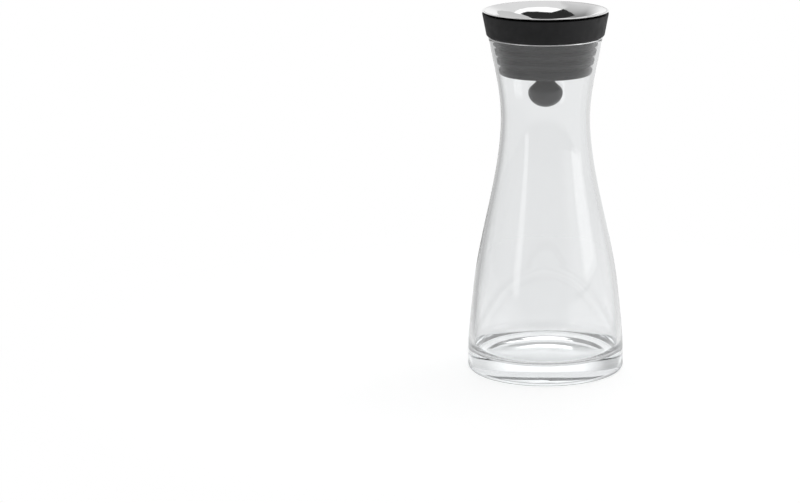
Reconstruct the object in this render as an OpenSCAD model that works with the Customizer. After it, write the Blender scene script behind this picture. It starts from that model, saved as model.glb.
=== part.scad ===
// Water carafe with a stopper whose lid tips open by itself when the carafe is poured.
// Millimetres, +Z up. The foot stands on z = 0 and the Z axis is the carafe's own axis.
// The lid rocks on its rear edge at -X, so +X is the pouring side.

/* [Glass] */
// Height of the glass, table to rim
glass_h = 270; // [250:1:330]
// Radius of the straight band round the foot
foot_r = 62.5; // [54:0.5:75]
// Height where that band ends
foot_band_z = 14; // [10:1:20]
// Height where the body begins to draw in
body_z = 66; // [50:1:90]
// Radius there
body_r = 58.2; // [48:0.1:70]
// Change of radius for each millimetre of height there
body_slope = -0.102; // [-0.2:0.002:0]
// Height of the waist
waist_z = 206; // [170:1:225]
// Radius of the waist, the narrowest place
waist_r = 35.5; // [33:0.1:43]
// Radius of the rim
rim_r = 45.3; // [38:0.1:55]
// Change of radius for each millimetre of height at the rim
rim_slope = 0.184; // [0.1:0.002:0.3]
// Wall thickness at the rim
rim_wall = 2.2; // [2:0.1:4]
// Wall thickness just above the inside floor
low_wall = 4; // [3:0.1:6]
// Thickness of the solid glass under the inside floor
floor_t = 15; // [10:0.5:20]
// Radius between the inside floor and the wall
floor_fillet = 9; // [4:0.5:14]
// Radius of the outer edge at the bottom
foot_fillet = 4; // [2:0.5:8]
// Width of the flat ring that the glass stands on
foot_ring_w = 9; // [6:0.5:14]
// Rise of the hollow under the foot
punt_h = 2.5; // [1:0.1:5]

/* [Sealing sleeve] */
// Height of the collar above the glass
collar_h = 17.9; // [14:0.1:24]
// How far the collar's lower edge stands out past the rim
collar_lap = 1.5; // [0.5:0.1:3]
// Gain in radius from the collar's lower edge to its top
collar_flare = 3; // [1:0.1:5]
// Radius of the collar's lower edge
collar_edge = 1.8; // [0.5:0.1:2.5]
// Width of the pouring lip on top of the collar
lip_w = 1.6; // [1.2:0.1:3]
// Radius of the lip's edges
lip_edge = 0.4; // [0.2:0.1:0.5]
// Depth of the sleeve in the neck
sleeve_depth = 30; // [24:0.5:36]
// Depth below the rim where the sealing ribs begin
rib_start = 1.2; // [1:0.1:4]
// Distance from one rib to the next
rib_pitch = 7.4; // [5:0.1:10]
// Depth of the notch between two ribs
rib_d = 3; // [0.8:0.1:3.5]
// Silicone left behind the notches
sleeve_wall = 2.3; // [2:0.1:4]
// Radius of the sleeve's lower edge
sleeve_edge = 4; // [1:0.5:5]
// Depth below the rim where the bore widens into the funnel
funnel_drop = 8; // [4:0.5:12]
// Height of the ledge in the bore that carries the insert
ledge_h = 3; // [2:0.5:5]

/* [Pour insert] */
// Wall of the insert's tube
tube_t = 2.3; // [1.5:0.1:3.5]
// How far the stem can swing from the middle before the hub stops it
stem_swing = 7; // [6:0.1:8]
// Wall of the hub
hub_t = 3; // [2:0.1:4]
// Height of the hub
hub_h = 5; // [3:0.5:8]
// Drop from the top of the insert to the top of the hub
hub_drop = 5; // [3:0.5:10]
// Number of spokes that carry the hub
spoke_count = 3; // [3:1:5]
// Width of a spoke
spoke_w = 3; // [2:0.1:5]

/* [Lid] */
// How far the steel lid stands out past the collar
lid_over = 0.2; // [0:0.1:2]
// Depth of the dished lid
dish_d = 9.7; // [7:0.1:11]
// Thickness of the steel sheet
sheet_t = 0.8; // [0.5:0.1:1.2]
// Outer radius of the edge that is rolled over
roll_r = 1.8; // [1.5:0.1:2.2]
// How far below the level the roll goes on, in degrees
roll_end = 0; // [0:1:20]
// Thickness of the carrier under the lid
carrier_t = 2.4; // [1.5:0.1:4]
// Depth of the seal's middle below the top of the lid
seal_drop = 11.2; // [10.6:0.1:12]
// Height of the seal
seal_h = 4.4; // [3:0.1:5]
// Width of the seal, carrier to funnel
seal_w = 5.5; // [4:0.1:7]
// Depth of the groove between the seal's two lips
seal_groove = 1.5; // [0.5:0.1:2]
// Wall of the carrier's skirt, which the seal is stretched over
skirt_t = 3; // [2:0.1:4]
// Thickness and width of the flanges that hold the seal
flange = 1.4; // [1:0.1:2]
// Height of the boss under the carrier
boss_h = 8; // [7:0.5:11]
// Radius of that boss
boss_r = 8; // [6:0.1:9]

/* [Pendulum] */
// Radius of the stem
stem_r = 4.5; // [4:0.1:5]
// Radius of the pegs at the ends of the stem
peg_r = 3; // [2:0.1:3.2]
// Length of those pegs
peg_l = 6; // [4:0.5:6.5]
// Depth of the knob's lowest point below the rim
knob_drop = 56.5; // [50:0.5:68]
// Largest radius of the knob
knob_r = 13.7; // [13:0.1:17]
// Height from the knob's lowest point to its widest place
knob_low_h = 11.5; // [9:0.5:15]
// Height from the widest place to the knob's top
knob_high_h = 14; // [12:0.5:18]
// Radius of the knob's neck
neck_r = 6; // [5:0.1:7]
// Radius of the weight in the knob
weight_r = 8; // [5:0.1:9]
// Height of that weight
weight_h = 11; // [6:0.5:13]
// Thickness of the knob under the weight
knob_floor = 5; // [4:0.5:7]

/* [Clearances] */
// Gap between the rim of the glass and the collar
seat_gap = 0.3; // [0.2:0.05:0.5]
// Gap between the ribs and the glass
rib_gap = 0.4; // [0.3:0.05:0.8]
// Gap between the lid's edge and the collar
lid_gap = 0.6; // [0.3:0.05:0.8]
// Gap between the seal and the funnel, measured level
seal_gap = 0.4; // [0.3:0.05:0.8]
// Gap between pieces that are fixed to each other
fit_gap = 0.2; // [0.1:0.05:0.3]

/* [Hidden] */
$fn = 128;
// Steps of an arc, of the dished lid and of the glass outline
arc_steps = 8;
dish_steps = 16;
outline_steps = 40;

glass_colour = [0.84, 0.91, 0.93, 0.4];
silicone_colour = "#28282a";
plastic_colour = "#343437";
steel_colour = "#c8cbd0";

// Points on an arc about c from angle a to angle b
function arc(c, r, a, b) =
    [for (i = [0 : arc_steps]) let (t = a + (b - a) * i / arc_steps) c + r * [cos(t), sin(t)]];

// Points on a cubic curve with end points a and d and handles b and c
function cubic(a, b, c, d) =
    [for (i = [0 : dish_steps]) let (t = i / dish_steps, s = 1 - t)
        s * s * s * a + 3 * s * s * t * b + 3 * s * t * t * c + t * t * t * d];

// Outer radius of the glass: smooth curves between stations of height, radius and slope
stations = [
    [foot_band_z, foot_r, 0],
    [body_z, body_r, body_slope],
    [waist_z, waist_r, 0],
    [glass_h, rim_r, rim_slope]
];
function between(p, q, z) =
    let (h = q[0] - p[0], u = (z - p[0]) / h, v = 1 - u)
    (1 + 2 * u) * v * v * p[1] + u * v * v * h * p[2] + u * u * (3 - 2 * u) * q[1] - u * u * v * h * q[2];
function outer_r(z) =
    z <= foot_band_z ? foot_r
    : z < body_z ? between(stations[0], stations[1], z)
    : z < waist_z ? between(stations[1], stations[2], z)
    : between(stations[2], stations[3], z);

// Inner radius: the wall thins evenly from the floor to the rim
floor_top_z = floor_t + floor_fillet;
rim_z = glass_h - rim_wall / 2;
function wall(z) = low_wall + (rim_wall - low_wall) * (z - floor_top_z) / (rim_z - floor_top_z);
function inner_r(z) = outer_r(z) - wall(z);

// Widest round thing that can be drawn up and out of the neck from height z
function throat_r(z) = min([for (i = [0 : outline_steps]) inner_r(z + (rim_z - z) * i / outline_steps)]);

// Foot of the glass
foot_out_r = foot_r - foot_fillet;
foot_in_r = foot_out_r - foot_ring_w;
punt_r = (foot_in_r * foot_in_r + punt_h * punt_h) / (2 * punt_h);

// Collar and sleeve
collar_z = glass_h + seat_gap;
collar_top_z = collar_z + collar_h;
collar_r = rim_r + collar_lap;
collar_top_r = collar_r + collar_flare;
sleeve_z = glass_h - sleeve_depth;
rib_z = glass_h - rib_start;
rib_count = round((rib_z - sleeve_z) / rib_pitch);
bore_r = throat_r(sleeve_z) - rib_gap - rib_d - sleeve_wall;
funnel_z = glass_h - funnel_drop;
lip_r = collar_top_r - lip_w;
function funnel_r(z) = bore_r + (lip_r - bore_r) * (z - funnel_z) / (collar_top_z - funnel_z);

// Insert in the sleeve
tube_r = bore_r - fit_gap;
tube_in_r = tube_r - tube_t;
tube_z = sleeve_z + ledge_h + fit_gap;
hub_z = funnel_z - hub_drop - hub_h;
hub_bore_r = stem_r + stem_swing;
hub_r = hub_bore_r + hub_t;

// Lid: the dish is part of a ball, and each piece under it follows the same ball lower down
lid_r = collar_top_r + lid_over;
lid_z = collar_top_z + lid_gap;
roll_mid_r = lid_r - roll_r;
roll_mid_z = lid_z + roll_r * sin(roll_end);
lid_top_z = roll_mid_z + roll_r;
roll_to_ball = (roll_mid_r * roll_mid_r + dish_d * dish_d) / (2 * dish_d);
dish_ball_r = roll_to_ball - roll_r;
dish_centre_z = roll_mid_z + roll_to_ball - dish_d;
dish_slope = asin(roll_mid_r / roll_to_ball);
function dish_z(r, under) = dish_centre_z - sqrt(pow(dish_ball_r + under, 2) - r * r);
function dish_curve(r0, r1, under) =
    [for (i = [0 : dish_steps]) let (r = r0 + (r1 - r0) * i / dish_steps) [r, dish_z(r, under)]];
carrier_top = sheet_t + fit_gap;
carrier_under = carrier_top + carrier_t;
seal_z = lid_top_z - seal_drop - seal_h / 2;
seal_top_z = seal_z + seal_h;
seal_mid_z = seal_z + seal_h / 2;
skirt_r = funnel_r(seal_mid_z) - seal_gap - seal_w;
flange_r = skirt_r + flange;
skirt_z = seal_z - fit_gap - flange;
boss_z = dish_z(0, carrier_under) - boss_h;

// Knob and stem
knob_z = glass_h - knob_drop;
knob_mid_z = knob_z + knob_low_h;
knob_top_z = knob_mid_z + knob_high_h;
stem_z = knob_top_z + fit_gap;
stem_top_z = boss_z - fit_gap;
weight_z = knob_z + knob_floor;
weight_chamfer = 1;

// Clear glass vessel with a heavy foot
module carafe_glass() {
    outside = [for (i = [0 : outline_steps])
        let (z = foot_band_z + (rim_z - foot_band_z) * i / outline_steps) [outer_r(z), z]];
    inside = [for (i = [0 : outline_steps])
        let (z = rim_z + (floor_top_z - rim_z) * i / outline_steps) [inner_r(z), z]];
    rim_centre = [outer_r(rim_z) - rim_wall / 2, rim_z];
    floor_centre = [inner_r(floor_top_z) - floor_fillet, floor_top_z];
    punt_angle = asin(foot_in_r / punt_r);
    color(glass_colour)
        rotate_extrude()
            polygon(concat(
                arc([0, punt_h - punt_r], punt_r, 90, 90 - punt_angle),
                arc([foot_out_r, foot_fillet], foot_fillet, -90, 0),
                outside,
                arc(rim_centre, rim_wall / 2, 0, 180),
                inside,
                arc(floor_centre, floor_fillet, 0, -90),
                [[0, floor_t]]
            ));
}

// Black silicone collar and ribbed sleeve in one piece
module sealing_sleeve() {
    // Outline of a rib that follows the glass wall, then draws in to the notch below it
    function on_wall(z, in) = [throat_r(z) - rib_gap - in, z];
    ribs = [for (k = [1 : rib_count - 1], part = [0.75, 0.4, 0])
        let (z = rib_z - (k - part) * rib_pitch)
        part > 0 ? on_wall(z, 0) : on_wall(z, rib_d)];
    low_edge = on_wall(sleeve_z + sleeve_edge, 0);
    lip_in = lip_r + lip_edge;
    lip_out = collar_top_r - lip_edge;
    color(silicone_colour)
        rotate_extrude()
            polygon(concat(
                arc([lip_in, collar_top_z - lip_edge], lip_edge, 140, 90),
                arc([lip_out, collar_top_z - lip_edge], lip_edge, 90, 0),
                arc([collar_r - collar_edge, collar_z + collar_edge], collar_edge, 0, -90),
                [[throat_r(rim_z) - rib_gap, collar_z], on_wall(rim_z, 0)],
                ribs,
                [low_edge],
                arc(low_edge - [sleeve_edge, 0], sleeve_edge, 0, -90),
                [[tube_in_r, sleeve_z], [tube_in_r, sleeve_z + ledge_h], [bore_r, sleeve_z + ledge_h]],
                [[bore_r, funnel_z]]
            ));
}

// Rigid tube that stiffens the sleeve and carries the hub on spokes
module pour_insert() {
    soft = 0.8;
    color(plastic_colour) {
        rotate_extrude()
            polygon([[tube_in_r, tube_z], [tube_r, tube_z], [tube_r, funnel_z], [tube_r - soft, funnel_z],
                     [tube_in_r, funnel_z - tube_t]]);
        translate([0, 0, hub_z])
            rotate_extrude()
                polygon([[hub_bore_r + soft, 0], [hub_r - soft, 0], [hub_r, soft], [hub_r, hub_h - soft],
                         [hub_r - soft, hub_h], [hub_bore_r + soft, hub_h], [hub_bore_r, hub_h - soft],
                         [hub_bore_r, soft]]);
        for (k = [0 : spoke_count - 1])
            rotate([0, 0, 180 + k * 360 / spoke_count])
                translate([hub_bore_r + hub_t / 2, -spoke_w / 2, hub_z + soft])
                    cube([tube_in_r + tube_t / 2 - hub_bore_r - hub_t / 2, spoke_w, hub_h - 2 * soft]);
    }
}

// Polished steel dish, whose sheet rolls over at the edge
module steel_lid() {
    roll_mid = [roll_mid_r, roll_mid_z];
    roll_in = roll_r - sheet_t;
    color(steel_colour)
        rotate_extrude()
            polygon(concat(
                dish_curve(0, dish_ball_r * sin(dish_slope), 0),
                arc(roll_mid, roll_r, 90 + dish_slope, -roll_end),
                arc(roll_mid, roll_in, -roll_end, 90 + dish_slope),
                dish_curve((dish_ball_r + sheet_t) * sin(dish_slope), 0, sheet_t)
            ));
}

// Plastic disc bonded under the dish, with a grooved skirt for the seal and a boss for the stem
module lid_carrier() {
    color(plastic_colour)
        rotate_extrude()
            polygon(concat(
                dish_curve(0, flange_r, carrier_top),
                [[flange_r, seal_top_z + fit_gap], [skirt_r, seal_top_z + fit_gap]],
                [[skirt_r, seal_z - fit_gap], [flange_r, seal_z - fit_gap], [flange_r, skirt_z]],
                [[skirt_r - skirt_t, skirt_z]],
                dish_curve(skirt_r - skirt_t, boss_r, carrier_under),
                [[boss_r, boss_z], [peg_r + fit_gap, boss_z], [peg_r + fit_gap, boss_z + peg_l + fit_gap]],
                [[0, boss_z + peg_l + fit_gap]]
            ));
}

// Silicone ring with two lips that closes on the funnel
module lid_seal() {
    seal_in_r = skirt_r + fit_gap;
    lip_h = seal_h / 4;
    function face(z) = [funnel_r(z) - seal_gap, z];
    color(silicone_colour)
        rotate_extrude()
            polygon([
                [seal_in_r, seal_z],
                face(seal_z),
                face(seal_z + lip_h),
                face(seal_mid_z) - [seal_groove, 0],
                face(seal_top_z - lip_h),
                face(seal_top_z),
                [seal_in_r, seal_top_z]
            ]);
}

// Stem between lid and knob, with a peg at each end
module pendulum_stem() {
    color(plastic_colour)
        rotate_extrude()
            polygon([
                [0, stem_z - peg_l],
                [peg_r, stem_z - peg_l],
                [peg_r, stem_z],
                [stem_r, stem_z],
                [stem_r, stem_top_z],
                [peg_r, stem_top_z],
                [peg_r, stem_top_z + peg_l],
                [0, stem_top_z + peg_l]
            ]);
}

// Knob that swings forward when the carafe is tipped, moulded round its weight
module pendulum_knob() {
    bowl = [for (i = [0 : 2 * arc_steps])
        let (a = -90 + 90 * i / (2 * arc_steps)) [knob_r * cos(a), knob_mid_z + knob_low_h * sin(a)]];
    shoulder = cubic([knob_r, knob_mid_z], [knob_r, knob_mid_z + knob_high_h * 0.43],
                     [neck_r, knob_mid_z + knob_high_h * 0.43], [neck_r, knob_top_z]);
    color(silicone_colour)
        difference() {
            rotate_extrude()
                polygon(concat(bowl, shoulder, [[0, knob_top_z]]));
            translate([0, 0, knob_top_z - peg_l - fit_gap])
                cylinder(r = peg_r + fit_gap, h = peg_l + 2 * fit_gap);
            translate([0, 0, weight_z - fit_gap])
                cylinder(r = weight_r + fit_gap, h = weight_h + 2 * fit_gap);
        }
}

// Steel slug inside the knob
module knob_weight() {
    c = weight_chamfer;
    color(steel_colour)
        translate([0, 0, weight_z])
            rotate_extrude()
                polygon([[0, 0], [weight_r - c, 0], [weight_r, c], [weight_r, weight_h - c],
                         [weight_r - c, weight_h], [0, weight_h]]);
}

carafe_glass();
sealing_sleeve();
pour_insert();
steel_lid();
lid_carrier();
lid_seal();
pendulum_stem();
pendulum_knob();
knob_weight();
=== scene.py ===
"""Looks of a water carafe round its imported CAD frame: blown glass, black silicone stopper and steel lid."""
import math

import bpy
import numpy as np
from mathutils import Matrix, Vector
from mathutils.kdtree import KDTree


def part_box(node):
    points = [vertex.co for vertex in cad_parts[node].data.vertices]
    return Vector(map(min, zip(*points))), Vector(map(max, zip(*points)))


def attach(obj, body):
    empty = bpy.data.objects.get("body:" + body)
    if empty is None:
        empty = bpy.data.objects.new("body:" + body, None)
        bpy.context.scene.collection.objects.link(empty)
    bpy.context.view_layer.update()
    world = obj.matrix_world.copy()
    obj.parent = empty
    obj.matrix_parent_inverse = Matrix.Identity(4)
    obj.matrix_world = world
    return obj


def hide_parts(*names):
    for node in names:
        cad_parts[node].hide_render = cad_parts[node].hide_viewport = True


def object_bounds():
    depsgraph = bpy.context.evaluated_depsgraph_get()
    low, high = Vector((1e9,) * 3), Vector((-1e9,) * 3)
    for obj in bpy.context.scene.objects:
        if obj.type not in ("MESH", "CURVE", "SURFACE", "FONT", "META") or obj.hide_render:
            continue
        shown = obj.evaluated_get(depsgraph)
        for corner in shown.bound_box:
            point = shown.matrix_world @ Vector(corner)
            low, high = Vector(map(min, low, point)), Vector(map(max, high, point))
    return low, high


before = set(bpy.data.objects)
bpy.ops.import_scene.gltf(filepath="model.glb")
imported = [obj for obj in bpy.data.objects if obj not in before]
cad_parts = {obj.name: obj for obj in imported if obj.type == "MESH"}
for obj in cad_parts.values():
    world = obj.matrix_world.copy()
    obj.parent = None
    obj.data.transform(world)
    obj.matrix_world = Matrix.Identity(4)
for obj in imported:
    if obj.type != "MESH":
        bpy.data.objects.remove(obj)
cad_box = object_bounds()

MM = 0.001

# Camera, fitted to the photograph's 800 x 503 frame
IMAGE_W = 800
FOCAL_PX = 2820
SENSOR = 36.0
CAMERA_AT = (0.0, -2.199, 0.622)
PITCH_DOWN = 13.47
AXIS_COLUMN = 545.5

# Reading sections from CAD meshes
SAME_RING = 0.02 * MM  # points closer than this are one ring
STRAIGHT = 0.15  # degrees of turn that count as straight on

# Rounding the corners of sections
CORNER = 33  # degrees of turn from which a corner is rounded
EDGE_RADIUS = 0.3 * MM
WIDEST_TURN = 150  # degrees of turn past which the cut grows no longer
MOST_OF_SIDE = 0.4  # share of a side that a cut may take
ARC_STEP = 18  # degrees of turn to a step

# Steps of the turned meshes
TURNS = 256  # steps round the axis
LONGEST = 2.4 * MM  # longest step along the section
FINEST = 0.12 * MM  # shortest step, where it bends
BEND_STEP = 4  # degrees of bend to a step

# The lid's edge
LIP_SHARE = 0.2  # share of the roll's height that is left
LIP_BLEND = 1.0 * MM  # how far inside the crest that begins

# The glass
GROUND_RIM = 1.3 * MM  # height of the ground band at the rim
RIPPLE = 0.12 * MM  # unevenness of the inside
RIPPLE_TOP = 0.225  # height at which it ends, in metres
RIPPLE_FADE = 0.03  # height over which it fades out there
RIPPLE_CENTRE = 0.02  # radius over which it fades out on the floor
INNER_FLOOR_TOP = 0.1  # height below which faces that look up are the floor
INWARD = -0.2  # outward share of the normals of the inner wall, at most
UPWARD = 0.5  # upward share of the normals of the floor, at least
# Waves of that unevenness: share, number round the axis, phase, and turn in radians for a metre of height
RIPPLE_WAVES = ((0.5, 2, 0.6, 14), (0.3, 3, -1.1, -21), (0.2, 5, 2.3, 37))

# The floor, where 1 is white
PAPER = 0.8  # its own reflectance
FLOOR_LIFT = 0.465  # light added for the camera
FLOOR_LIFT_IN_GLASS = 0.29  # light added for glass and mirrors
FLOOR_LIFT_UNDER_GLASS = 0.37  # the same, under the carafe
FLOOR_IN_GLASS = 0.85  # level further off, for glass
FLOOR_IN_MIRROR = 1.15  # level further off, for mirrors
LEFT_IN_MIRROR = 0.45  # share of that on the left
FOOT_SHADE = 0.7  # shade under the foot's rounded edge, for mirrors
FOOT_SHADE_END = 1.12  # where that ends, in radii of the foot
UNDER_GLASS = (0.055, 0.085)  # metres from the axis over which the light under the carafe gives way
CLOSE_BY = (0.16, 0.45)  # metres from the axis over which the floor turns plain white
DARK_FLOOR = (-1.1, -0.7)  # metres in Y, from the dark room in front to the floor
DIM_FLOOR = (-0.8, -0.25)  # metres in X, from the dimmer left to the floor
FLOOR_HALF = 8.0  # half its side, in metres

# The world, where 1 is white
AMBIENT = 0.35  # what lights the pieces
WHITE_IN_MIRROR = 1.2  # strength of what mirrors see
HORIZON_IN_GLASS = 1.15  # strength of what glass sees
DARK_ROOM = 0.04  # the room in front, for mirrors, and the level of the painted shadow under the foot
DARK_WAYS = (-0.85, -0.6)  # Y of a level direction, from the dark room to the walls
DARK_BELOW = (0.2, 0.5)  # height of a direction over which the dark parts of the room end
LIGHT_BOUNCES = 24

# Shares of these strengths: for mirrors and for glass by the height of a direction, and for mirrors also from
# left to right
WALLS = ((0, 0.87), (0.3, 0.85), (0.37, 0.79), (0.45, 0.71), (0.56, 0.69), (0.84, 0.72), (0.94, 0.35),
         (1, 0.25))
CEILING = ((0, 0.75), (0.08, 0.85), (0.16, 1.0), (0.3, 1.0), (0.47, 0.15), (1, 0.08))
BEARINGS = ((0, 0.2), (0.25, 0.33), (0.4, 1.0), (0.6, 1.0), (0.8, 0.95), (1, 0.95))

# Softboxes: degrees to the right of the camera and up, metres away, width and height in metres, and level
SOFTBOXES = (("top_box", 150, 78, 1.6, 1.3, 1.3, 2.2),
             ("strip_left", -48, 12, 1.6, 0.30, 1.2, 1.1),
             ("side_right", 82, 18, 1.7, 0.9, 1.2, 1.1))
NOT_MIRRORED = "top_box"

# Corners of the cards that the lid mirrors, in degrees to the right of the back, and up
WHITE_PANEL = ((6.5, 26.4), (7.4, 31), (7.7, 36), (6.5, 41), (3.4, 43.8), (-0.4, 44.4), (-3.9, 41.8),
               (-5.5, 38), (-3, 20), (2, 19))
DARK_GABLE = ((5.2, 27), (5.4, 31), (5, 34), (2.5, 36), (-0.3, 35.3), (-1.6, 34.5), (-5.8, 38.7),
              (-6.2, 35.6), (-5.9, 29.2), (-4.8, 21.2), (-2.8, 19), (2, 19), (2.2, 20.5), (3.2, 23.9))
GREY_PANEL = ((8.2, 23.6), (7.4, 27.2), (6.4, 26.3), (4.7, 26.1), (3.2, 23.9), (2.2, 20.5), (2, 12),
              (1.5, 4), (2.5, 6), (5.3, 13.9), (7.4, 19.5))

# These cards' levels and metres away
PANELS = (("white_panel", WHITE_PANEL, 1.3, 2.0),
          ("dark_gable", DARK_GABLE, 0.03, 1.8),
          ("grey_panel", GREY_PANEL, 0.64, 1.9))

# A card that ends softly: corners as above with half the width of the border in degrees, metres away, and
# levels by metres to the left and a share of the metres up
SHADE_PANEL = ((-8.4, 52, 2), (-7.9, 44, 1.6), (-7.3, 40, 1), (-4.8, 37, 0.3), (-4.4, 29, 0.3),
               (-3.4, 21.5, 0.3), (-2.3, 19, 0.3), (-3, 17.5, 0.3), (-3.3, 11.8, 0.3), (-3.2, 8.6, 0.4),
               (-4.5, 11.9, 0.8), (-5.6, 15.1, 1), (-7.6, 20.6, 1.2), (-9.5, 25, 1.2), (-11.2, 28.8, 1.2),
               (-13, 32.3, 1.2), (-14.3, 36, 1.2), (-14.1, 39.5, 1.2), (-12.9, 43.5, 1.3), (-11, 49, 1.5))
SHADE_AWAY = 1.9
SHADE_SLANT = (-1, 0, 0.25)
SHADE_LEVELS = ((0.35, 0.26), (0.41, 0.32), (0.53, 0.54), (0.59, 0.63), (0.70, 0.75))

# Dark flags on the right: their degrees to the right of the back, corners from there, level and metres away
FLAGS = (("dark_flag_back", 48), ("dark_flag_right", 92))
FLAG = ((-7, 3), (7, 3), (5.5, 38), (2, 41), (-5, 36))
FLAG_LEVEL = 0.05
FLAG_AWAY = 1.4

# Bent cards that draw the edges of the glass: side and level, and in metres the ends of the front edge and of
# the fold, out from the middle and back, and the height of the top
EDGE_CARDS = (("edge_card_left", -1, 0.52), ("edge_card_right", 1, 0.76))
EDGE_CARD_FRONT = ((0.075, 0.03), (0.20, 0.0))
EDGE_CARD_FOLD = ((0.085, 0.33), (0.36, 0.22))
EDGE_CARD_TOP = 0.34
EDGE_CARD_LIFT = 0.0005  # height of the front edge and the fold
EDGE_CARD_GRID = (17, 41)  # points across and along
EDGE_CARD_FADE_ALONG = (0.3, 0.15)  # soft ends at the front and the top, as shares of a panel's length
EDGE_CARD_FADE_ACROSS = (0.1, 0.06)  # soft sides towards the middle and away from it, in metres


# Section outlines

def rings_of(node):
    """Section points (radius, height) of a round CAD node and which of them are joined, from its mesh."""
    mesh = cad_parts[node].data
    co = np.array([v.co for v in mesh.vertices])
    section = np.stack([np.hypot(co[:, 0], co[:, 1]), co[:, 2]], 1)
    tree = KDTree(len(section))
    for i, (r, z) in enumerate(section):
        tree.insert((r, z, 0), i)
    tree.balance()
    ring, points = [-1] * len(section), []
    for i, (r, z) in enumerate(section):
        if ring[i] < 0:
            for _, j, _ in tree.find_range((r, z, 0), SAME_RING):
                ring[j] = len(points)
            points.append((r, z))
    joined = {}
    for edge in mesh.edges:
        a, b = (ring[v] for v in edge.vertices)
        if a != b:
            joined.setdefault(a, set()).add(b)
            joined.setdefault(b, set()).add(a)
    return np.array(points), joined


def outline_of(node):
    """The node's outer section in order, and whether it closes on itself or runs from axis to axis."""
    points, joined = rings_of(node)
    ends = [k for k, near in joined.items() if len(near) == 1]
    path = [min(ends, key=lambda k: points[k][1]) if ends else min(joined)]
    seen = set(path)
    while True:
        ahead = [k for k in joined[path[-1]] if k not in seen]
        if not ahead:
            break
        path.append(min(ahead))
        seen.add(path[-1])
    line = points[path]
    if ends:
        caps = [np.array([[0.0, line[i][1]]]) for i in (0, -1) if line[i][0] > SAME_RING]
        line = np.concatenate([caps[0], line, caps[-1]]) if len(caps) == 2 else line
        if len(caps) == 1:
            line = np.concatenate([line, caps[0]] if line[0][0] <= SAME_RING else [caps[0], line])
    return line, not ends


def turn_at(a, b, c):
    """Signed turn of the line a, b, c at b, in degrees."""
    u, v = b - a, c - b
    return math.degrees(math.atan2(u[0] * v[1] - u[1] * v[0], u @ v))


def without_straight(line, closed):
    """The line without the points at which it runs straight on."""
    n = len(line)
    keep = [i for i in range(n)
            if (not closed and i in (0, n - 1))
            or abs(turn_at(line[i - 1], line[i], line[(i + 1) % n])) > STRAIGHT]
    return line[keep]


def rounded(line, closed, corner, radius):
    """The line with each corner sharper than the given turn cut to a small arc."""
    n, out = len(line), []
    for i in range(n):
        b = line[i]
        turn = 0 if not closed and i in (0, n - 1) else turn_at(line[i - 1], b, line[(i + 1) % n])
        if abs(turn) <= corner:
            out.append(b)
            continue
        a, c = line[i - 1], line[(i + 1) % n]
        back, on = np.linalg.norm(a - b), np.linalg.norm(c - b)
        cut = radius * math.tan(math.radians(min(abs(turn), WIDEST_TURN)) / 2)
        cut = min(cut, MOST_OF_SIDE * back, MOST_OF_SIDE * on)
        start, stop = b + (a - b) * cut / back, b + (c - b) * cut / on
        steps = max(2, round(abs(turn) / ARC_STEP))
        for k in range(steps + 1):
            t = k / steps
            out.append((1 - t) ** 2 * start + 2 * t * (1 - t) * b + t ** 2 * stop)
    return np.array(out)


def smoothed(line, closed):
    """Points and outward normals of a smooth line through the given ones, close together where it bends."""
    n = len(line)
    step = np.roll(line, -1, 0) - line
    if not closed:
        step = np.concatenate([step[:-1], step[-2:-1]])
    length = np.linalg.norm(step, axis=1)
    before = np.roll(step, 1, 0)
    if not closed:
        before[0] = step[0]
    along = before + step
    along /= np.linalg.norm(along, axis=1)[:, None]
    points, normals = [], []
    for i in range(n if closed else n - 1):
        j = (i + 1) % n
        bend = abs(turn_at(np.zeros(2), along[i], along[i] + along[j]))
        for_bend = min(int(bend // BEND_STEP) + 1, int(length[i] / FINEST) + 1)
        parts = max(int(math.ceil(length[i] / LONGEST)), for_bend)
        for t in np.arange(parts) / parts:
            h = length[i]
            place = ((2 * t**3 - 3 * t**2 + 1) * line[i] + (t**3 - 2 * t**2 + t) * h * along[i]
                     + (3 * t**2 - 2 * t**3) * line[j] + (t**3 - t**2) * h * along[j])
            way = ((6 * t**2 - 6 * t) * (line[i] - line[j]) / h + (3 * t**2 - 4 * t + 1) * along[i]
                   + (3 * t**2 - 2 * t) * along[j])
            way /= np.linalg.norm(way)
            points.append(place)
            normals.append((way[1], -way[0]))
    if not closed:
        points.append(line[-1])
        normals.append((along[-1][1], -along[-1][0]))
    return np.array(points), np.array(normals)


def pressed_thin(line):
    """The lid's outline with its rolled edge pressed up under the crest to a thin lip, over a dark gap."""
    crest_r, crest_z = line[line[:, 1].argmax()]
    share = 1 - (1 - LIP_SHARE) * np.clip((line[:, 0] - crest_r) / LIP_BLEND + 1, 0, 1)
    return np.stack([line[:, 0], crest_z - (crest_z - line[:, 1]) * share], 1)


def section_of(node, corner, radius, reshape=None):
    """Smooth section of a round CAD node: points, outward normals and whether it closes."""
    line, closed = outline_of(node)
    line = without_straight(line, closed)
    if reshape:
        line = reshape(line)
    after = np.roll(line, -1, 0)
    if (line[:, 0] * after[:, 1] - after[:, 0] * line[:, 1]).sum() < 0:
        line = line[::-1]
    points, normals = smoothed(rounded(line, closed, corner, radius), closed)
    points = np.clip(points, [0, line[:, 1].min()], line.max(0))
    return points, normals, closed


# Meshes

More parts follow.
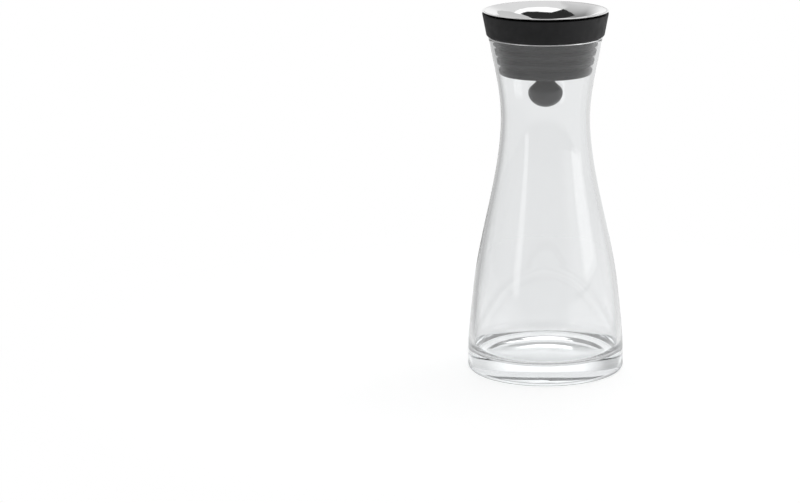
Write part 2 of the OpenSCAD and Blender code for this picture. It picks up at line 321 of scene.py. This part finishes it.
def turned(name, section, ripple=None):
    """A mesh that turns a section about the Z axis. ripple(angle, points, normals) moves its surface out."""
    points, normals, closed = section
    angle = np.arange(TURNS) * math.tau / TURNS
    circle = np.stack([np.cos(angle), np.sin(angle)], 1)
    co, directions, rows = [], [], []
    push = ripple(angle, points, normals) if ripple else np.zeros((len(points), TURNS))
    for (r, z), (nr, nz), out in zip(points, normals, push):
        first = len(co)
        if r < SAME_RING:
            co.append((0, 0, z + nz * out[0]))
            directions.append((0, 0, 1 if nz > 0 else -1))
            rows.append([first] * TURNS)
            continue
        for (c, s), move in zip(circle, out):
            radius = r + nr * move
            co.append((radius * c, radius * s, z + nz * move))
            directions.append((nr * c, nr * s, nz))
        rows.append(list(range(first, first + TURNS)))
    faces = []
    for i in range(len(rows) if closed else len(rows) - 1):
        low, high = rows[i], rows[(i + 1) % len(rows)]
        for j in range(TURNS):
            k = (j + 1) % TURNS
            corners = [low[j], low[k], high[k], high[j]]
            face = [v for m, v in enumerate(corners) if v != corners[m - 1]]
            if len(face) > 2:
                faces.append(face)
    mesh = bpy.data.meshes.new(name)
    mesh.from_pydata(co, [], faces)
    mesh.validate()
    mesh.polygons.foreach_set("use_smooth", [True] * len(mesh.polygons))
    if ripple is None:
        mesh.normals_split_custom_set_from_vertices(directions)
    mesh.update()
    piece = bpy.data.objects.new(name, mesh)
    bpy.context.scene.collection.objects.link(piece)
    return piece


def stand_for(node, body, material, name, corner=CORNER, radius=EDGE_RADIUS, reshape=None, ripple=None):
    """A smooth turned piece in place of a round CAD node."""
    piece = turned(name, section_of(node, corner, radius, reshape), ripple)
    piece.data.materials.append(material)
    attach(piece, body)
    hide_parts(node)
    return piece


def stage_card(name, corners, material, faces=None, shares=None):
    """A card of the studio, flat unless faces are given. Shares say how much of it is at each corner."""
    mesh = bpy.data.meshes.new(name)
    mesh.from_pydata(corners, [], faces or [list(range(len(corners)))])
    mesh.materials.append(material)
    if shares is not None:
        mesh.attributes.new("share", "FLOAT", "POINT").data.foreach_set("value", shares)
    card = bpy.data.objects.new(name, mesh)
    bpy.context.scene.collection.objects.link(card)
    return card


# Shader nodes

def emptied(owner):
    """The tools of an emptied node tree: add(type, **settings) makes a node, link(a, b) joins two sockets."""
    owner.use_nodes = True
    tree = owner.node_tree
    tree.nodes.clear()

    def add(kind, **settings):
        node = tree.nodes.new(kind)
        for key, value in settings.items():
            if key in node.inputs:
                node.inputs[key].default_value = value
            else:
                setattr(node, key, value)
        return node

    return add, tree.links.new


def new_material(name):
    """An empty node material and its tools."""
    material = bpy.data.materials.new(name)
    return (material, *emptied(material))


def put_out(add, link, shader, kind="ShaderNodeOutputMaterial"):
    """Makes a shader the surface of a material or world."""
    out = add(kind)
    link(shader.outputs[0], out.inputs["Surface"])
    return out


def noise(add, link, vector, scale, detail=4.0, rough=0.55):
    """Noise of the given scale, in features per metre."""
    node = add("ShaderNodeTexNoise", Scale=scale, Detail=detail, Roughness=rough)
    link(vector, node.inputs["Vector"])
    return node.outputs["Fac"]


def ranged(add, link, value, low, high, start=0.3, stop=0.7):
    """A value of start to stop spread over low to high."""
    node = add("ShaderNodeMapRange")
    for socket, number in (("From Min", start), ("From Max", stop), ("To Min", low), ("To Max", high)):
        node.inputs[socket].default_value = number
    link(value, node.inputs["Value"])
    return node.outputs["Result"]


def bumped(add, link, height, distance, strength):
    """A normal from a height, in metres of relief."""
    node = add("ShaderNodeBump", Strength=strength, Distance=distance)
    link(height, node.inputs["Height"])
    return node.outputs["Normal"]


def blended(add, link, factor, first, second):
    """A colour between two, by a factor."""
    node = add("ShaderNodeMix", data_type="RGBA")
    ends = [socket for socket in node.inputs if socket.type == "RGBA"]
    for socket, colour in zip(ends, (first, second)):
        if isinstance(colour, bpy.types.NodeSocket):
            link(colour, socket)
        else:
            socket.default_value = (*colour, 1)
    link(factor, node.inputs["Factor"])
    return next(socket for socket in node.outputs if socket.type == "RGBA")


def levels(add, link, value, stops):
    """Grey levels by a value of 0 to 1, as (value, level) stops."""
    ramp = add("ShaderNodeValToRGB")
    elements = ramp.color_ramp.elements
    for mark, (at, level) in zip(elements, (stops[0], stops[-1])):
        mark.position, mark.color = at, (level, level, level, 1)
    for at, level in stops[1:-1]:
        elements.new(at).color = (level, level, level, 1)
    link(value, ramp.inputs["Fac"])
    return ramp.outputs["Color"]


def combined(add, link, operation, first, second):
    """Two values put together by an operation."""
    node = add("ShaderNodeMath", operation=operation)
    link(first, node.inputs[0])
    link(second, node.inputs[1])
    return node.outputs[0]


def product(add, link, first, second):
    """One value times another."""
    return combined(add, link, "MULTIPLY", first, second)


def length_of(add, link, vector):
    """The length of a vector."""
    node = add("ShaderNodeVectorMath", operation="LENGTH")
    link(vector, node.inputs[0])
    return node.outputs["Value"]


def axes_of(add, link, vector):
    """The X, Y and Z of a vector, by name."""
    node = add("ShaderNodeSeparateXYZ")
    link(vector, node.inputs[0])
    return node.outputs


def chosen(add, link, factor, first, second):
    """One shader or another, by a factor."""
    node = add("ShaderNodeMixShader")
    link(factor, node.inputs["Fac"])
    link(first.outputs[0], node.inputs[1])
    link(second.outputs[0], node.inputs[2])
    return node


def ended_softly(add, link, glow):
    """A card's glow, clear where the card's share is 0."""
    share = add("ShaderNodeAttribute", attribute_name="share").outputs["Fac"]
    return chosen(add, link, share, add("ShaderNodeBsdfTransparent"), glow)


# Materials of the pieces

def glass_material():
    """Clear soda-lime glass with painted shade that greys its colour where it is seen edge on, and faint
    marks. Lamps shine through it.
    """
    material, add, link = new_material("clear_glass")
    place = add("ShaderNodeTexCoord").outputs["Object"]
    glass = add("ShaderNodeBsdfPrincipled", IOR=1.51)
    glass.inputs["Transmission Weight"].default_value = 1.0
    # Painted shade: the colour greys where the glass is seen edge on, which draws its edges darker
    facing = add("ShaderNodeLayerWeight", Blend=0.5).outputs["Facing"]
    edge_on_shade = ranged(add, link, facing, 0, 1, start=0.62, stop=1.0)
    tint = blended(add, link, edge_on_shade, (0.965, 0.972, 0.976), (0.72, 0.73, 0.735))
    link(tint, glass.inputs["Base Color"])
    marks = noise(add, link, place, scale=45, detail=5)
    link(ranged(add, link, marks, 0.0, 0.02, start=0.5, stop=0.8), glass.inputs["Roughness"])
    clear = add("ShaderNodeBsdfTransparent", Color=(0.94, 0.945, 0.945, 1))
    depth = add("ShaderNodeVolumeAbsorption", Color=(0.81, 0.86, 0.885, 1), Density=2.5)
    shadow = add("ShaderNodeLightPath").outputs["Is Shadow Ray"]
    out = put_out(add, link, chosen(add, link, shadow, glass, clear))
    link(depth.outputs[0], out.inputs["Volume"])
    return material


def ground_rim_material():
    """The rim of the glass, finely ground. It throws light back like a mirror, as the edge of glass does."""
    material, add, link = new_material("ground_glass_rim")
    place = add("ShaderNodeTexCoord").outputs["Object"]
    glass = add("ShaderNodeBsdfPrincipled", IOR=1.51, Metallic=0.9)
    glass.inputs["Transmission Weight"].default_value = 0.05
    grit = noise(add, link, place, scale=2400, detail=3)
    tint = blended(add, link, grit, (0.93, 0.935, 0.94), (0.97, 0.972, 0.975))
    link(tint, glass.inputs["Base Color"])
    link(ranged(add, link, grit, 0.22, 0.36), glass.inputs["Roughness"])
    link(bumped(add, link, grit, distance=0.05 * MM, strength=0.4), glass.inputs["Normal"])
    put_out(add, link, glass)
    return material


def silicone_material(name, roughness, specular):
    """Matte black silicone: a fine moulded grain, paler bloom in patches, and roughness that varies in
    patches.
    """
    material, add, link = new_material(name)
    place = add("ShaderNodeTexCoord").outputs["Object"]
    rubber = add("ShaderNodeBsdfPrincipled")
    bloom = noise(add, link, place, scale=70, detail=6, rough=0.6)
    pale = ranged(add, link, bloom, 0, 1, start=0.35, stop=0.75)
    tint = blended(add, link, pale, (0.0085, 0.0086, 0.0094), (0.0115, 0.0116, 0.0127))
    link(tint, rubber.inputs["Base Color"])
    rubbed = noise(add, link, place, scale=160, detail=4)
    link(ranged(add, link, rubbed, *roughness), rubber.inputs["Roughness"])
    grain = noise(add, link, place, scale=5200, detail=2)
    link(bumped(add, link, grain, distance=0.04 * MM, strength=0.35), rubber.inputs["Normal"])
    rubber.inputs["Specular IOR Level"].default_value = specular
    put_out(add, link, rubber)
    return material


def plastic_material():
    """Black moulded plastic with a spark-eroded texture."""
    material, add, link = new_material("black_plastic")
    place = add("ShaderNodeTexCoord").outputs["Object"]
    plastic = add("ShaderNodeBsdfPrincipled")
    cloud = noise(add, link, place, scale=120, detail=4)
    tint = blended(add, link, cloud, (0.010, 0.010, 0.011), (0.017, 0.017, 0.018))
    link(tint, plastic.inputs["Base Color"])
    sheen = noise(add, link, place, scale=300, detail=3)
    link(ranged(add, link, sheen, 0.30, 0.44), plastic.inputs["Roughness"])
    pits = noise(add, link, place, scale=3600, detail=2)
    link(bumped(add, link, pits, distance=0.04 * MM, strength=0.5), plastic.inputs["Normal"])
    plastic.inputs["Specular IOR Level"].default_value = 0.45
    put_out(add, link, plastic)
    return material


def steel_material():
    """Polished stainless steel with the fine rings that spinning and polishing leave."""
    material, add, link = new_material("polished_steel")
    place = add("ShaderNodeTexCoord").outputs["Object"]
    steel = add("ShaderNodeBsdfPrincipled", Metallic=1.0)
    axes = axes_of(add, link, place)
    flat = add("ShaderNodeCombineXYZ")
    link(axes["X"], flat.inputs["X"])
    link(axes["Y"], flat.inputs["Y"])
    rings = add("ShaderNodeTexNoise", noise_dimensions="1D", Scale=2600.0, Detail=3.0)
    link(length_of(add, link, flat.outputs[0]), rings.inputs["W"])
    smear = noise(add, link, place, scale=90, detail=5)
    tint = blended(add, link, smear, (0.78, 0.78, 0.785), (0.84, 0.84, 0.84))
    link(tint, steel.inputs["Base Color"])
    link(ranged(add, link, smear, 0.02, 0.05), steel.inputs["Roughness"])
    link(bumped(add, link, rings.outputs["Fac"], distance=0.002 * MM, strength=0.5), steel.inputs["Normal"])
    put_out(add, link, steel)
    return material


# Materials of the studio

def card_material(name, level, soft=False):
    """A plain glowing card, which may end softly."""
    material, add, link = new_material(name)
    glow = add("ShaderNodeEmission", Color=(1, 1, 1, 1), Strength=level)
    put_out(add, link, ended_softly(add, link, glow) if soft else glow)
    return material


def shade_card_material(name):
    """A card that pales from right to left, and ends softly."""
    material, add, link = new_material(name)
    slant = add("ShaderNodeVectorMath", operation="DOT_PRODUCT")
    link(add("ShaderNodeTexCoord").outputs["Object"], slant.inputs[0])
    slant.inputs[1].default_value = SHADE_SLANT
    glow = add("ShaderNodeEmission", Strength=1.0)
    link(levels(add, link, slant.outputs["Value"], SHADE_LEVELS), glow.inputs["Color"])
    put_out(add, link, ended_softly(add, link, glow))
    return material


def near_floor(add, link, away, camera, seen, mirror):
    """The floor close by: paper with light added, and shade for mirrors under the foot's rounded edge."""
    paper = add("ShaderNodeBsdfDiffuse", Color=(PAPER, PAPER, PAPER, 1))
    in_glass = ranged(add, link, away, FLOOR_LIFT_UNDER_GLASS, FLOOR_LIFT_IN_GLASS, *UNDER_GLASS)
    strength = add("ShaderNodeMapRange")
    link(camera, strength.inputs["Value"])
    link(in_glass, strength.inputs["To Min"])
    strength.inputs["To Max"].default_value = FLOOR_LIFT
    lift = add("ShaderNodeEmission", Color=(1, 1, 1, 1))
    link(product(add, link, strength.outputs["Result"], seen), lift.inputs["Strength"])
    lit = add("ShaderNodeAddShader")
    link(paper.outputs[0], lit.inputs[0])
    link(lift.outputs[0], lit.inputs[1])
    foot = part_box("carafe_glass")[1][0]
    # Painted shadow on the floor under the foot's rounded edge, for mirrors, at the dark room's level
    under = ranged(add, link, away, FOOT_SHADE, 0, foot, FOOT_SHADE_END * foot)
    dark = add("ShaderNodeEmission", Color=(1, 1, 1, 1), Strength=DARK_ROOM)
    return chosen(add, link, product(add, link, under, mirror), lit, dark)


def far_floor(add, link, axes, through, mirror):
    """The floor further off: plain white, and for mirrors dimmer on the left and dark in front."""
    white = ranged(add, link, through, 1.0, FLOOR_IN_GLASS, 0, 1)
    at_left = product(add, link, ranged(add, link, axes["X"], 1, 0, *DIM_FLOOR), mirror)
    in_front = product(add, link, ranged(add, link, axes["Y"], 1, 0, *DARK_FLOOR), mirror)
    for share, level in ((mirror, FLOOR_IN_MIRROR), (at_left, LEFT_IN_MIRROR), (in_front, DARK_ROOM)):
        white = product(add, link, white, ranged(add, link, share, 1.0, level, 0, 1))
    far = add("ShaderNodeEmission", Color=(1, 1, 1, 1))
    link(white, far.inputs["Strength"])
    return far


def floor_material():
    """White floor that keeps the carafe's shadow close by and fades to plain white further off."""
    material, add, link = new_material("white_floor")
    path = add("ShaderNodeLightPath").outputs
    camera, glossy, through = (path[f"Is {kind} Ray"] for kind in ("Camera", "Glossy", "Transmission"))
    seen = combined(add, link, "MAXIMUM", combined(add, link, "MAXIMUM", camera, glossy), through)
    mirror = combined(add, link, "SUBTRACT", glossy, through)
    place = add("ShaderNodeTexCoord").outputs["Object"]
    away = length_of(add, link, place)
    near = near_floor(add, link, away, camera, seen, mirror)
    far = far_floor(add, link, axes_of(add, link, place), through, mirror)
    share = product(add, link, ranged(add, link, away, 0, 1, *CLOSE_BY), seen)
    put_out(add, link, chosen(add, link, share, near, far))
    return material


# Studio

def make_floor():
    """A wide flat floor."""
    corners = [(FLOOR_HALF * x, FLOOR_HALF * y, 0) for x, y in ((-1, -1), (1, -1), (1, 1), (-1, 1))]
    stage_card("floor", corners, floor_material())


def mirrored_world(add, link, height, side):
    """What mirrors see: a white horizon and pale walls, and low down a dark room in front and dimmer left."""
    low = ranged(add, link, height, 1, 0, *DARK_BELOW)
    in_front = product(add, link, low, ranged(add, link, side["Y"], 1, 0, *DARK_WAYS))
    walls = levels(add, link, height, WALLS)
    bearing = levels(add, link, ranged(add, link, side["X"], 0, 1, -1, 1), BEARINGS)
    brightest = add("ShaderNodeVectorMath", operation="SCALE", Scale=WHITE_IN_MIRROR)
    link(blended(add, link, low, (1, 1, 1), bearing), brightest.inputs[0])
    mirrored = add("ShaderNodeBackground")
    link(blended(add, link, in_front, walls, (DARK_ROOM, DARK_ROOM, DARK_ROOM)), mirrored.inputs["Color"])
    link(brightest.outputs[0], mirrored.inputs["Strength"])
    return mirrored


def make_world():
    """Soft even light on the pieces. Glass sees a bright horizon and a dark ceiling, and the camera white."""
    world = bpy.data.worlds.new("studio")
    bpy.context.scene.world = world
    add, link = emptied(world)
    path = add("ShaderNodeLightPath").outputs
    way = add("ShaderNodeTexCoord").outputs["Generated"]
    height = axes_of(add, link, way)["Z"]
    level = add("ShaderNodeVectorMath", operation="MULTIPLY")
    link(way, level.inputs[0])
    level.inputs[1].default_value = (1, 1, 0)
    about = add("ShaderNodeVectorMath", operation="NORMALIZE")
    link(level.outputs[0], about.inputs[0])
    mirrored = mirrored_world(add, link, height, axes_of(add, link, about.outputs[0]))
    soft = add("ShaderNodeBackground", Color=(1, 1, 1, 1), Strength=AMBIENT)
    pale = add("ShaderNodeBackground", Strength=HORIZON_IN_GLASS)
    link(levels(add, link, height, CEILING), pale.inputs["Color"])
    white = add("ShaderNodeBackground", Color=(1, 1, 1, 1), Strength=1.0)
    seen = chosen(add, link, path["Is Glossy Ray"], soft, mirrored)
    seen = chosen(add, link, path["Is Transmission Ray"], seen, pale)
    seen = chosen(add, link, path["Is Camera Ray"], seen, white)
    put_out(add, link, seen, "ShaderNodeOutputWorld")


def round_about(azimuth, elevation, distance, centre):
    """A point seen from centre at an azimuth from the camera's side, to the right, and an elevation."""
    a, e = math.radians(azimuth), math.radians(elevation)
    return (centre[0] + distance * math.sin(a) * math.cos(e),
            centre[1] - distance * math.cos(a) * math.cos(e),
            centre[2] + distance * math.sin(e))


def softbox(name, at, towards, width, height, level):
    """A rectangular softbox whose face has the given level, where 1 is white."""
    lamp = bpy.data.lights.new(name, "AREA")
    lamp.shape = "RECTANGLE"
    lamp.size, lamp.size_y = width, height
    lamp.energy = level * math.pi * width * height
    box = bpy.data.objects.new(name, lamp)
    box.location = at
    box.rotation_mode = "QUATERNION"
    box.rotation_quaternion = (Vector(towards) - Vector(at)).to_track_quat("-Z", "Y")
    box.visible_glossy = name != NOT_MIRRORED
    bpy.context.scene.collection.objects.link(box)


def make_lights(centre):
    """Softboxes that look at the middle of the carafe."""
    for name, azimuth, elevation, distance, width, height, level in SOFTBOXES:
        softbox(name, round_about(azimuth, elevation, distance, centre), centre, width, height, level)


def shown_to(card, mirrors=False, glass=False):
    """Shows a card to mirrors or to glass alone."""
    card.visible_camera = card.visible_diffuse = card.visible_shadow = False
    card.visible_glossy, card.visible_transmission = mirrors, glass


def bordered(corners):
    """A soft border round a polygon of (right, up, half width): its corners, faces and shares."""
    flat = np.array(corners)[:, :2]
    half = np.array(corners)[:, 2:]
    after = np.roll(flat, -1, 0)
    along = after - flat
    out = np.stack([along[:, 1], -along[:, 0]], 1) / np.linalg.norm(along, axis=1)[:, None]
    out += np.roll(out, 1, 0)
    out /= np.linalg.norm(out, axis=1)[:, None]
    if (flat[:, 0] * after[:, 1] - after[:, 0] * flat[:, 1]).sum() < 0:
        out = -out
    n = len(flat)
    ring = [[i, (i + 1) % n, n + (i + 1) % n, n + i] for i in range(n)]
    spots = np.concatenate([flat - out * half, flat + out * half])
    return spots, [list(range(n)), *ring], [1.0] * n + [0.0] * n


def mirror_card(name, corners, material, distance, centre, faces=None, shares=None):
    """A flat card for mirrors to see. Corners are degrees to the right of the back, and up."""
    def towards(right, up):
        return Vector(round_about(180 - right, up, 1, (0, 0, 0)))

    axis = towards(*np.mean(corners, 0))
    spots = [Vector(centre) + towards(*corner) * distance / towards(*corner).dot(axis) for corner in corners]
    card = stage_card(name, [tuple(spot) for spot in spots], material, faces, shares)
    shown_to(card, mirrors=True)


def edge_card(name, side, level):
    """A bent grey card, from the floor in front over a fold to its top, that draws one edge of the glass."""
    heights = (EDGE_CARD_LIFT, EDGE_CARD_LIFT, EDGE_CARD_TOP)
    lines = np.array([[(out, back, up) for out, back in ends]
                      for ends, up in zip((EDGE_CARD_FRONT, EDGE_CARD_FOLD, EDGE_CARD_FOLD), heights)])
    columns, rows = EDGE_CARD_GRID
    front, top = EDGE_CARD_FADE_ALONG
    inside, outside = EDGE_CARD_FADE_ACROSS
    corners, shares = [], []
    for v in np.linspace(0, 2, rows):
        i = min(int(v), 1)
        inner, outer = lines[i] + (lines[i + 1] - lines[i]) * (v - i)
        width = np.linalg.norm(outer - inner)
        along = np.clip(v / front, 0, 1) * np.clip((2 - v) / top, 0, 1)
        for u in np.linspace(0, 1, columns):
            spot = inner + (outer - inner) * u
            corners.append((side * spot[0], spot[1], spot[2]))
            across = np.clip(u * width / inside, 0, 1) * np.clip((1 - u) * width / outside, 0, 1)
            shares.append(along * across)
    faces = [[i * columns + j, i * columns + j + 1, (i + 1) * columns + j + 1, (i + 1) * columns + j]
             for i in range(rows - 1) for j in range(columns - 1)]
    card = stage_card(name, corners, card_material(name, level, soft=True), faces, shares)
    shown_to(card, mirrors=True, glass=True)


def make_cards():
    """What the lid mirrors, a white panel with a dark gable before it, grey panels beside it and dark flags
    on the right, and the bent grey cards that draw the edges of the glass."""
    lowest, highest = (Vector(corner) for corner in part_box("steel_lid"))
    lid = tuple((lowest + highest) / 2)
    for name, corners, level, distance in PANELS:
        mirror_card(name, corners, card_material(name, level), distance, lid)
    for name, bearing in FLAGS:
        corners = [(bearing + right, up) for right, up in FLAG]
        mirror_card(name, corners, card_material(name, FLAG_LEVEL), FLAG_AWAY, lid)
    corners, faces, shares = bordered(SHADE_PANEL)
    mirror_card("shade_panel", corners, shade_card_material("shade_panel"), SHADE_AWAY, lid, faces, shares)
    for name, side, level in EDGE_CARDS:
        edge_card(name, side, level)


def make_camera():
    """The photograph's camera, with its axis on the carafe and the frame shifted sideways."""
    data = bpy.data.cameras.new("camera")
    data.sensor_width = SENSOR
    data.lens = FOCAL_PX / IMAGE_W * SENSOR
    data.shift_x = (IMAGE_W / 2 - AXIS_COLUMN) / IMAGE_W
    camera = bpy.data.objects.new("camera", data)
    camera.location = CAMERA_AT
    camera.rotation_euler = (math.radians(90 - PITCH_DOWN), 0, 0)
    bpy.context.scene.collection.objects.link(camera)
    bpy.context.scene.camera = camera


def set_render():
    """Plain colours, and light that passes through many walls of glass."""
    scene = bpy.context.scene
    scene.view_settings.view_transform = "Standard"
    scene.cycles.max_bounces = LIGHT_BOUNCES
    scene.cycles.transmission_bounces = LIGHT_BOUNCES
    scene.cycles.glossy_bounces = LIGHT_BOUNCES


# Pieces

def glass_ripple(angle, points, normals):
    """Slow unevenness of blown glass, on its inner wall and floor below the stopper."""
    radius, height = points[:, 0:1], points[:, 1:2]
    inside = (normals[:, 0:1] < INWARD) | ((normals[:, 1:2] > UPWARD) & (height < INNER_FLOOR_TOP))
    fade = np.clip((RIPPLE_TOP - height) / RIPPLE_FADE, 0, 1) * inside * np.clip(radius / RIPPLE_CENTRE, 0, 1)
    wave = sum(share * np.sin(count * angle + phase + rise * height)
               for share, count, phase, rise in RIPPLE_WAVES)
    return RIPPLE * fade * wave


def make_glass():
    """The vessel of clear glass, with its ground rim."""
    glass = glass_material()
    vessel = stand_for("carafe_glass", "carafe", glass, "glass_vessel", ripple=glass_ripple)
    vessel.data.materials.append(ground_rim_material())
    rim_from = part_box("carafe_glass")[1][2] - GROUND_RIM
    for face in vessel.data.polygons:
        if face.center.z > rim_from:
            face.material_index = 1


def make_stopper():
    """The stopper with its lid and pendulum. The insert and the weight keep their CAD shapes."""
    plastic, steel = plastic_material(), steel_material()
    silicone = silicone_material("black_silicone", roughness=(0.50, 0.66), specular=0.3)
    smooth_silicone = silicone_material("smooth_silicone", roughness=(0.36, 0.46), specular=0.5)
    stand_for("sealing_sleeve", "stopper", silicone, "silicone_sleeve", radius=0.45 * MM)
    stand_for("steel_lid", "lid", steel, "lid_dish", corner=40, radius=0.2 * MM,
              reshape=pressed_thin)
    stand_for("lid_carrier", "lid", plastic, "lid_underside", radius=0.4 * MM)
    stand_for("lid_seal", "lid", silicone, "lid_lip_seal", corner=25)
    stand_for("pendulum_stem", "lid", plastic, "stem_rod")
    stand_for("pendulum_knob", "lid", smooth_silicone, "hanging_knob", radius=0.5 * MM)
    for node, material in (("pour_insert", plastic), ("knob_weight", steel)):
        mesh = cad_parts[node].data
        mesh.materials.clear()
        mesh.materials.append(material)


make_glass()
make_stopper()
make_floor()
make_world()
make_lights(tuple((cad_box[0] + cad_box[1]) / 2))
make_cards()
make_camera()
set_render()
